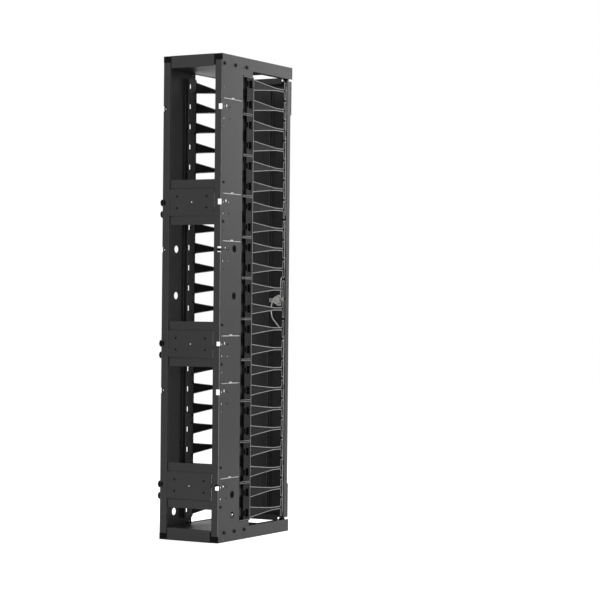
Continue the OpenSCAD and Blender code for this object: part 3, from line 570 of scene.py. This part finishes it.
def moduleParts(side, i, f, c):
    # a windowed skin, the wall that slopes from it to the rail, ribs at both ends, two fingers and a bead
    zc = f["middle"] + (i - (f["modules"] + 1) / 2) * 2 * f["pitch"]
    z0 = max(zc - f["pitch"] + 0.5 * f["gap"], f["low"])
    z1 = min(zc + f["pitch"] - 0.5 * f["gap"], f["high"])
    heights = [zc - 0.5 * f["pitch"], zc + 0.5 * f["pitch"]]
    ys = [f["front"], c["window"][0], c["window"][1], c["notch"], c["rear"]]
    levels = (-c["windowHalf"], -c["notchHalf"], c["notchHalf"], c["windowHalf"])
    zs = [z0] + [h + d for h in heights for d in levels] + [z1]
    filled = np.ones((len(ys) - 1, len(zs) - 1), bool)
    filled[1, 1:4] = filled[1, 5:8] = False         # windows
    filled[3, 2] = filled[3, 6] = False             # notches
    parts = [shells(fingerRings(side, heights, f)),
             windowPlate(side * c["inner"], side * c["outer"], ys, zs, filled)]
    line = np.array(c["slope"])
    run = np.diff(line, axis=0)
    out = np.stack([run[:, 1], -run[:, 0]], 1) / np.linalg.norm(run, axis=1)[:, None] * c["wall"]
    walls = [[a, b, b + o, a + o] for a, b, o in zip(line[:-1], line[1:], out)]
    parts.append(bars(np.array(walls) * (side, 1), z0, z1))
    face = c["outer"] - c["sink"]
    rib = np.array([[(c["rail"], line[1, 1] + c["ribClear"]), (face, line[0, 1] + c["ribClear"]),
                     (face, c["groove"]), (c["rail"], c["groove"])]]) * (side, 1)
    for low in (z0 + c["ribIn"], z1 - c["ribIn"] - c["rib"]):
        parts.append(bars(rib, low, low + c["rib"]))
        x, z = beadSection(face, side, c["bead"], c["rib"])
        ends = np.array([f["front"] + c["beadFront"], c["groove"] - c["beadRear"]])[:, None]
        ring = np.stack([x + 0 * ends, ends + 0 * x, low + 0.5 * c["rib"] + z + 0 * ends], -1)
        parts.append(shells(ring[None]))
    if i in (1, f["modules"]):
        # the outermost modules close the groove at its end
        low = z0 - c["endPast"] if i == 1 else z1 + c["endPast"] - c["end"]
        parts.append(bars(rib, low, low + c["end"]))
    x, y = beadSection(c["outer"], side, c["bead"], c["beadWide"])
    edge = np.stack([x, f["front"] + 0.5 * c["beadWide"] + y], 1)
    parts.append(bars(edge[None], z0 + c["sink"], z1 - c["sink"]))
    return parts


for side, name in ((-1, "left"), (1, "right")):
    for i in range(1, fingers["modules"] + 1):
        node = "finger_module_%s_%d" % (name, i)
        join(newObject(node + "_moulded", moduleParts(side, i, fingers, base), 50), node)
print("finger modules shaped")

unit = {
    "web": 0.150, "rear": 0.300, "height": 2.090, "panelRear": 0.298,
    "middle": 1.050, "station": 0.2032,      # the hole stations repeat up and down from the middle
}
station = [unit["middle"] + unit["station"] * k for k in (-4, -2, -1, 1, 2, 4)]
ties = [unit["middle"] + unit["station"] * k for k in (-4, -1, 2)]
bolts = {
    "head": 0.0080, "headHeight": 0.0050, "dome": 0.0016, "socket": 0.0024, "socketDepth": 0.0026,
    "domeSteps": ((0.62, 0.0), (0.84, 0.25), (0.96, 0.65)),     # shares of radius and of dome
    "shank": 0.0030, "nut": 0.0050, "nutHeight": 0.0060,
    "edge": 0.0003, "bevel": 0.0005, "nutBevel": 0.0006,
    "grip": 0.005, "reach": 0.013,
    "rear": (0.024, 0.113, 0.204), "low": (0.052, 0.135, 0.217), "height": 0.041,
}
tieBolt = dict(bolts, head=0.0060, headHeight=0.0040, grip=0.0045, reach=0.0105, y=0.280, above=0.084)


def boltProfile(c):
    # distances run inwards from the seat of the head: hex socket, domed head, shank, hex nut, shank end
    top, rim, end = -c["headHeight"], -c["headHeight"] + c["dome"], c["grip"] + c["nutHeight"]
    small = c["nut"] - c["bevel"]
    return [(c["socket"], top + c["socketDepth"], 6), (c["socket"], top + 0.0002, 6),
            (c["socket"] * 1.25, top, 0),
            *[(c["head"] * r, top + c["dome"] * h, 0) for r, h in c["domeSteps"]],
            (c["head"], rim, 0), (c["head"], -c["edge"], 0), (c["head"] - c["edge"], 0, 0),
            (c["shank"], 0, 0), (c["shank"], c["grip"], 0), (small, c["grip"], 6),
            (c["nut"], c["grip"] + c["nutBevel"], 6), (c["nut"], end - c["nutBevel"], 6), (small, end, 6),
            (c["shank"], end, 0), (c["shank"], c["reach"] - c["bevel"], 0),
            (c["shank"] - c["bevel"], c["reach"], 0)]


def bothSides(name, profile, places, node):
    # the same turned shape on the left and right webs, pointing inwards
    left = turned(profile, [(-x, y, z) for x, y, z in places], (1, 0, 0))
    right = turned(profile, places, (-1, 0, 0))
    return join(shellMesh(name, np.concatenate([left, right]), 35), node)


low, high = bolts["height"], unit["height"] - bolts["height"]
webPlaces = [(unit["web"], unit["rear"] - d, low) for d in bolts["low"]]
webPlaces += [(unit["web"], unit["rear"] - d, high) for d in bolts["rear"]]
bothSides("panelBolts", boltProfile(bolts), webPlaces, "side_panel_bolts")
tiePlaces = [(unit["web"], tieBolt["y"], z + dz) for z in ties
             for dz in (-tieBolt["above"], tieBolt["above"])]
withoutNut = [row for row in boltProfile(tieBolt) if row[2] != 6 or row[1] < 0]
bothSides("crossPanelBolts", withoutNut, tiePlaces, "cross_panel_bolts")

knob = {
    "radius": 0.015, "height": 0.014, "waist": 0.0125, "lobes": 12, "lobe": 0.0005,
    "cup": (0.0035, 0.0060, 0.0070), "cupDepth": 0.0012,
    "stud": 0.0039, "studEnd": -0.0125, "nut": 0.0072, "nutFrom": -0.0025, "nutTo": -0.0085,
    "y": 0.280, "below": 0.050, "columns": 72,      # each tie has a knob, and one more this far below
}


def knobRings(c, places):
    # a flat knob with a rounded edge, whose radius swells and dips by "lobe" twelve times round, on its stud
    h = c["height"]
    middle, floor, lip = c["cup"]
    profile = [(middle, h - c["cupDepth"], 0), (floor, h - c["cupDepth"], 0), (lip, h, 0),
               (c["radius"] - 0.0022, h, 0), (c["radius"] - 0.0008, h - 0.0006, 0),
               (c["radius"], h - 0.0020, 0), (c["radius"], 0.0018, 0),
               (c["waist"], 0.0004, 0), (c["waist"], 0, 0),
               (c["stud"], 0, 0), (c["stud"], c["nutFrom"], 0), (c["nut"], c["nutFrom"], 6),
               (c["nut"], c["nutTo"], 6), (c["stud"], c["nutTo"], 0), (c["stud"], c["studEnd"], 0)]
    rings = turned(profile, places, (1, 0, 0), c["columns"])
    centre = np.array(places, float)[:, None, None]
    theta = np.linspace(0, 2 * np.pi, c["columns"], endpoint=False)
    swell = np.zeros((len(profile), c["columns"]))
    swell[5:7] = c["lobe"] * np.cos(c["lobes"] * theta) / c["radius"]
    return centre + (rings - centre) * np.stack([np.ones_like(swell), 1 + swell, 1 + swell], -1)[None]


knobPlaces = [(unit["web"], knob["y"], z + dz) for z in ties for dz in (0.0, -knob["below"])]
join(shellMesh("bayingKnobs", knobRings(knob, knobPlaces), 30), "baying_knobs")
print("bolts and knobs turned")

latch = {
    "rod": 0.003, "bend": 0.016, "x": -0.098, "z": 1.040, "rodX": -0.137, "rodY": -0.264, "arm": 0.021,
    "hook": 0.003,      # how far the hooks pass through the cam
    # the upper rod's two bends in height from the cam, and the lower rod's as (across, height) from its arm
    "upper": (0.098, 0.135),
    "lower": ((0.009, -0.028), (0.005, -0.076), (-0.036, -0.122)), "lowerEnd": -0.155,
}


def smoothRod(name, points, node, c):
    # a round bar whose bends are smooth curves
    path = roundedPath(points, c["bend"])
    side, up = directions(path, (1.0, 0.0, 0.0))
    return join(shellMesh(name, alongPath(path, ringSection(c["rod"]), side, up), 60), node)


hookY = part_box("upper_rod")[1][1] - latch["rod"] + latch["hook"]
topEnd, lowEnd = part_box("upper_rod")[1][2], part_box("lower_rod")[0][2]
z0, y0, straight = latch["z"], latch["rodY"], latch["rodX"]
x0 = latch["x"] - latch["arm"]
bend, level = latch["upper"]
smoothRod("upperRod", [(x0, hookY, z0), (x0, y0, z0), (x0, y0, z0 + bend), (straight, y0, z0 + level),
                       (straight, y0, topEnd)], "upper_rod", latch)
x0 = latch["x"] + latch["arm"]
smoothRod("lowerRod", [(x0, hookY, z0), (x0, y0, z0), *[(x0 + dx, y0, z0 + dz) for dx, dz in latch["lower"]],
                       (straight, y0, z0 + latch["lowerEnd"]), (straight, y0, lowEnd)], "lower_rod", latch)

handle = {"boss": 0.015, "width": 0.012, "depth": 0.012, "thin": 0.0075, "swell": 0.0015}


def handleRings(c):
    # level rounded sections |x/a|^3 + |y/b|^3 = 1 carried down the grip: a swells in its middle and
    # closes round both ends, b thins from the boss to the tip
    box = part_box("door_handle")
    yBack, zTop, zLow = box[1][1], box[1][2], box[0][2]
    s = np.linspace(0, 1, 40)
    z = zTop + (zLow - zTop) * (0.5 - 0.5 * np.cos(np.pi * s))
    t = (zTop - z) / (zTop - zLow)
    a = c["width"] + c["swell"] * np.sin(np.pi * np.clip((t - 0.25) / 0.7, 0, 1))
    a = a + (c["boss"] - c["width"]) * np.clip(1 - ((t - 0.12) / 0.16) ** 2, 0, 1)
    fromTop, fromLow = (zTop - z), (z - zLow)
    a = a * np.sqrt(np.clip(1 - (1 - fromTop / c["boss"]).clip(0) ** 2, 0.02, 1))
    a = a * np.sqrt(np.clip(1 - (1 - fromLow / c["width"]).clip(0) ** 2, 0.02, 1))
    b = 0.5 * (c["depth"] + (c["thin"] - c["depth"]) * np.clip((t - 0.15) / 0.5, 0, 1))
    b = b * np.sqrt(np.clip(1 - (1 - np.minimum(fromTop, fromLow) / 0.004).clip(0) ** 2, 0.15, 1))
    theta = np.linspace(0, 2 * np.pi, 32, endpoint=False)
    cx = np.sign(np.cos(theta)) * np.abs(np.cos(theta)) ** (2 / 3)
    cy = np.sign(np.sin(theta)) * np.abs(np.sin(theta)) ** (2 / 3)
    x = latch["x"] + a[:, None] * cx[None]
    y = yBack - 0.5 * c["depth"] + b[:, None] * cy[None]
    return np.stack([x, y, z[:, None] + 0 * x], -1)[None]


join(shellMesh("doorHandle", handleRings(handle), 60), "door_handle")

# radius and height over the door: bore, flange, then the neck that carries the spindle
bearing = [(0.009, -0.0005, 0), (0.009, 0.002, 0), (0.0245, 0.002, 0), (0.0250, 0.0025, 0),
           (0.0250, 0.0045, 0), (0.0242, 0.0052, 0), (0.0165, 0.0056, 0), (0.0152, 0.0070, 0),
           (0.0150, 0.0240, 0), (0.0138, 0.0252, 0), (0.0062, 0.0252, 0)]
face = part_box("latch_housing")
seat = [(latch["x"], face[0][1], latch["z"])]
join(shellMesh("latchHousing", turned(bearing, seat, (0, 1, 0), 48), 40), "latch_housing")
for node in ("latch_cam", "cam_nut", "handle_escutcheon", "handle_spindle"):
    softEdges(node, softEdge["sheet"])
print("latch shaped")

cap = {"inner": 0.112, "flange": 0.1092, "post": 0.1138, "y": (0.2835, 0.2990), "z": (0.0275, 0.0478)}
for node in ("corner_caps_bottom", "corner_caps_top", "hinge_bushes", "rod_end_guides", "rod_guides",
             "latch_strike_top", "latch_strike_bottom"):
    block = softEdges(node, softEdge["block"])
    if node.startswith("corner"):
        # the caps reach right up to the rear flange of the pan, filling the open corner, which is in shade,
        # with black as painted shade
        place = np.zeros(len(block.data.vertices) * 3)
        block.data.vertices.foreach_get("co", place)
        place = place.reshape(-1, 3)
        close = np.abs(place[:, 0]) < cap["inner"]
        place[close, 0] = np.sign(place[close, 0]) * cap["flange"]
        block.data.vertices.foreach_set("co", place.ravel())
for node in ("bottom_pan", "top_pan", "cross_panel_upper", "cross_panel_middle", "cross_panel_lower",
             "door_end_top", "door_end_bottom", "door_panel", "door_stiffener"):
    softEdges(node, softEdge["sheet"])

# a black tongue on each cap fills the shaded gap between flange and post, as painted shade
(front, back), (low, high) = cap["y"], cap["z"]
gapShadeOutline = [(cap["flange"], front), (cap["post"], front), (cap["post"], back), (cap["flange"], back)]
gapShadeFills = [bars(np.array([gapShadeOutline]) * (side, 1), z0, z1) for side in (-1, 1)
           for z0, z1 in ((low, high), (unit["height"] - high, unit["height"] - low))]
join(newObject("gapShadeFill", gapShadeFills, 40), "corner_caps_top", False)

press = {"start": 0.2865, "end": 0.1345, "rise": 0.0365, "height": 0.0013, "width": 0.0042, "fade": 14}


def pressedLines(c):
    # the raised lower edge of the line at each station: a half-round bead that sinks into the web at its ends
    x, z = beadSection(unit["web"], 1, c["height"], c["width"])
    t = np.linspace(0, 1, 24)[:, None]
    swell = np.clip(np.minimum(t, 1 - t) * c["fade"], 0.15, 1) ** 0.5
    y = c["start"] + (c["end"] - c["start"]) * t
    out = unit["web"] + (x - unit["web"]) * swell
    return np.array([np.stack([side * out, y + 0 * x, level + c["rise"] + z * swell], -1)
                     for side in (-1, 1) for level in station])


# the beads stand just past the web, so the coat gives them its painted highlight
join(shellMesh("pressedLines", pressedLines(press), 60), "side_panel_left", False)

insert = {"flange": 0.0068, "bore": 0.0045, "rise": 0.0007, "sunk": -0.0015, "across": 0.075, "above": 0.025}
ringRows = [(insert["bore"], insert["sunk"], 0), (insert["bore"], insert["rise"] - 0.0002, 0),
            (insert["bore"] + 0.0004, insert["rise"], 0), (insert["flange"] - 0.0005, insert["rise"], 0),
            (insert["flange"], 0.0, 0), (insert["flange"], -0.0004, 0),
            (insert["bore"] + 0.0003, insert["sunk"], 0)]
pinRows = [(0.0012, 0.0012, 0), (0.0024, 0.0008, 0), (0.0030, 0.0, 0), (0.0030, -0.002, 0)]
for name, z in zip(("lower", "middle", "upper"), ties):
    node, y = "cross_panel_" + name, unit["panelRear"]
    places = [(x, y, z + dz) for x in (-insert["across"], insert["across"])
              for dz in (-insert["above"], insert["above"])]
    join(tubeMesh("insertRings_" + name, turned(ringRows, places, (0, 1, 0))), node, False)
    pins = shellMesh("centrePins_" + name, turned(pinRows, [(0, y, z)], (0, 1, 0)), 60)
    join(pins, node, False)
    pins.data.materials[0] = finishes["zinc_steel"]
print("sheet edges broken")

studio = {
    "floorLevel": 0.80, "floorGlow": 0.66, "floorReach": 60.0, "floorDrop": 0.001, "floorSides": 96,
    "sky": 0.45, "background": 1.0,
}
lamps = {
    "key": {"place": (-1.8, -1.2, 4.2), "aim": (0, 0, 1.4), "size": 1.6, "watts": 90},
    "near": {"place": (-3.7, 3.2, 1.25), "aim": (0, 0, 1.1), "size": 0.7, "tall": 3.0, "watts": 75},
    "rear": {"place": (1.5, 4.5, 4.2), "aim": (0, 0.2, 1.2), "size": 2.0, "watts": 60},
    "front": {"place": (-1.0, -5.0, 2.5), "aim": (0, 0, 1.0), "size": 2.5, "watts": 60},
}


def hangLamp(name, c):
    data = bpy.data.lights.new(name, "AREA")
    data.shape = "RECTANGLE" if "tall" in c else "DISK"
    data.size = c["size"]
    data.size_y = c.get("tall", c["size"])
    data.energy = c["watts"]
    lamp = bpy.data.objects.new(name, data)
    way = Vector(c["aim"]) - Vector(c["place"])
    lamp.matrix_world = Matrix.Translation(c["place"]) @ way.to_track_quat("-Z", "Y").to_matrix().to_4x4()
    bpy.context.scene.collection.objects.link(lamp)


def paleFloor(c):
    # a wide disc; the camera sees it a little lit from within, so that it ends white but keeps a shadow
    n = c["floorSides"]
    a = np.linspace(0, 2 * np.pi, n, endpoint=False)
    ring = np.stack([np.cos(a), np.sin(a)], 1) * c["floorReach"]
    ring = np.column_stack([ring, np.full(n, -c["floorDrop"])])
    mesh = bpy.data.meshes.new("floor")
    mesh.from_pydata(ring.tolist(), [], [list(range(n))])
    floor = bpy.data.objects.new("floor", mesh)
    bpy.context.scene.collection.objects.link(floor)
    f = newFinish("paleFloor")
    plain = f.add("ShaderNodeBsdfDiffuse", {}, {"Color": grey(c["floorLevel"])}).out()
    glow = f.add("ShaderNodeEmission", {}, {"Color": grey(1.0), "Strength": c["floorGlow"]}).out()
    both = f.add("ShaderNodeAddShader", {}, {0: plain, 1: glow}).out()
    mix = f.add("ShaderNodeMixShader", {}, {0: f.seenDirectly(), 1: plain, 2: both}).out()
    mesh.materials.append(f.close(mix))


def whiteWorld(c):
    # white where it is seen directly, in a reflection or through glass, and a soft sky for the rest
    world = bpy.data.worlds.new("studio")
    bpy.context.scene.world = world
    f = Finish(world, "ShaderNodeOutputWorld")
    dim = f.add("ShaderNodeBackground", {}, {"Color": grey(1.0), "Strength": c["sky"]}).out()
    bright = f.add("ShaderNodeBackground", {}, {"Color": grey(1.0), "Strength": c["background"]}).out()
    f.close(f.add("ShaderNodeMixShader", {}, {0: f.seenDirectly(), 1: dim, 2: bright}).out())


for name, c in lamps.items():
    hangLamp(name, c)
paleFloor(studio)
whiteWorld(studio)
print("studio lit")
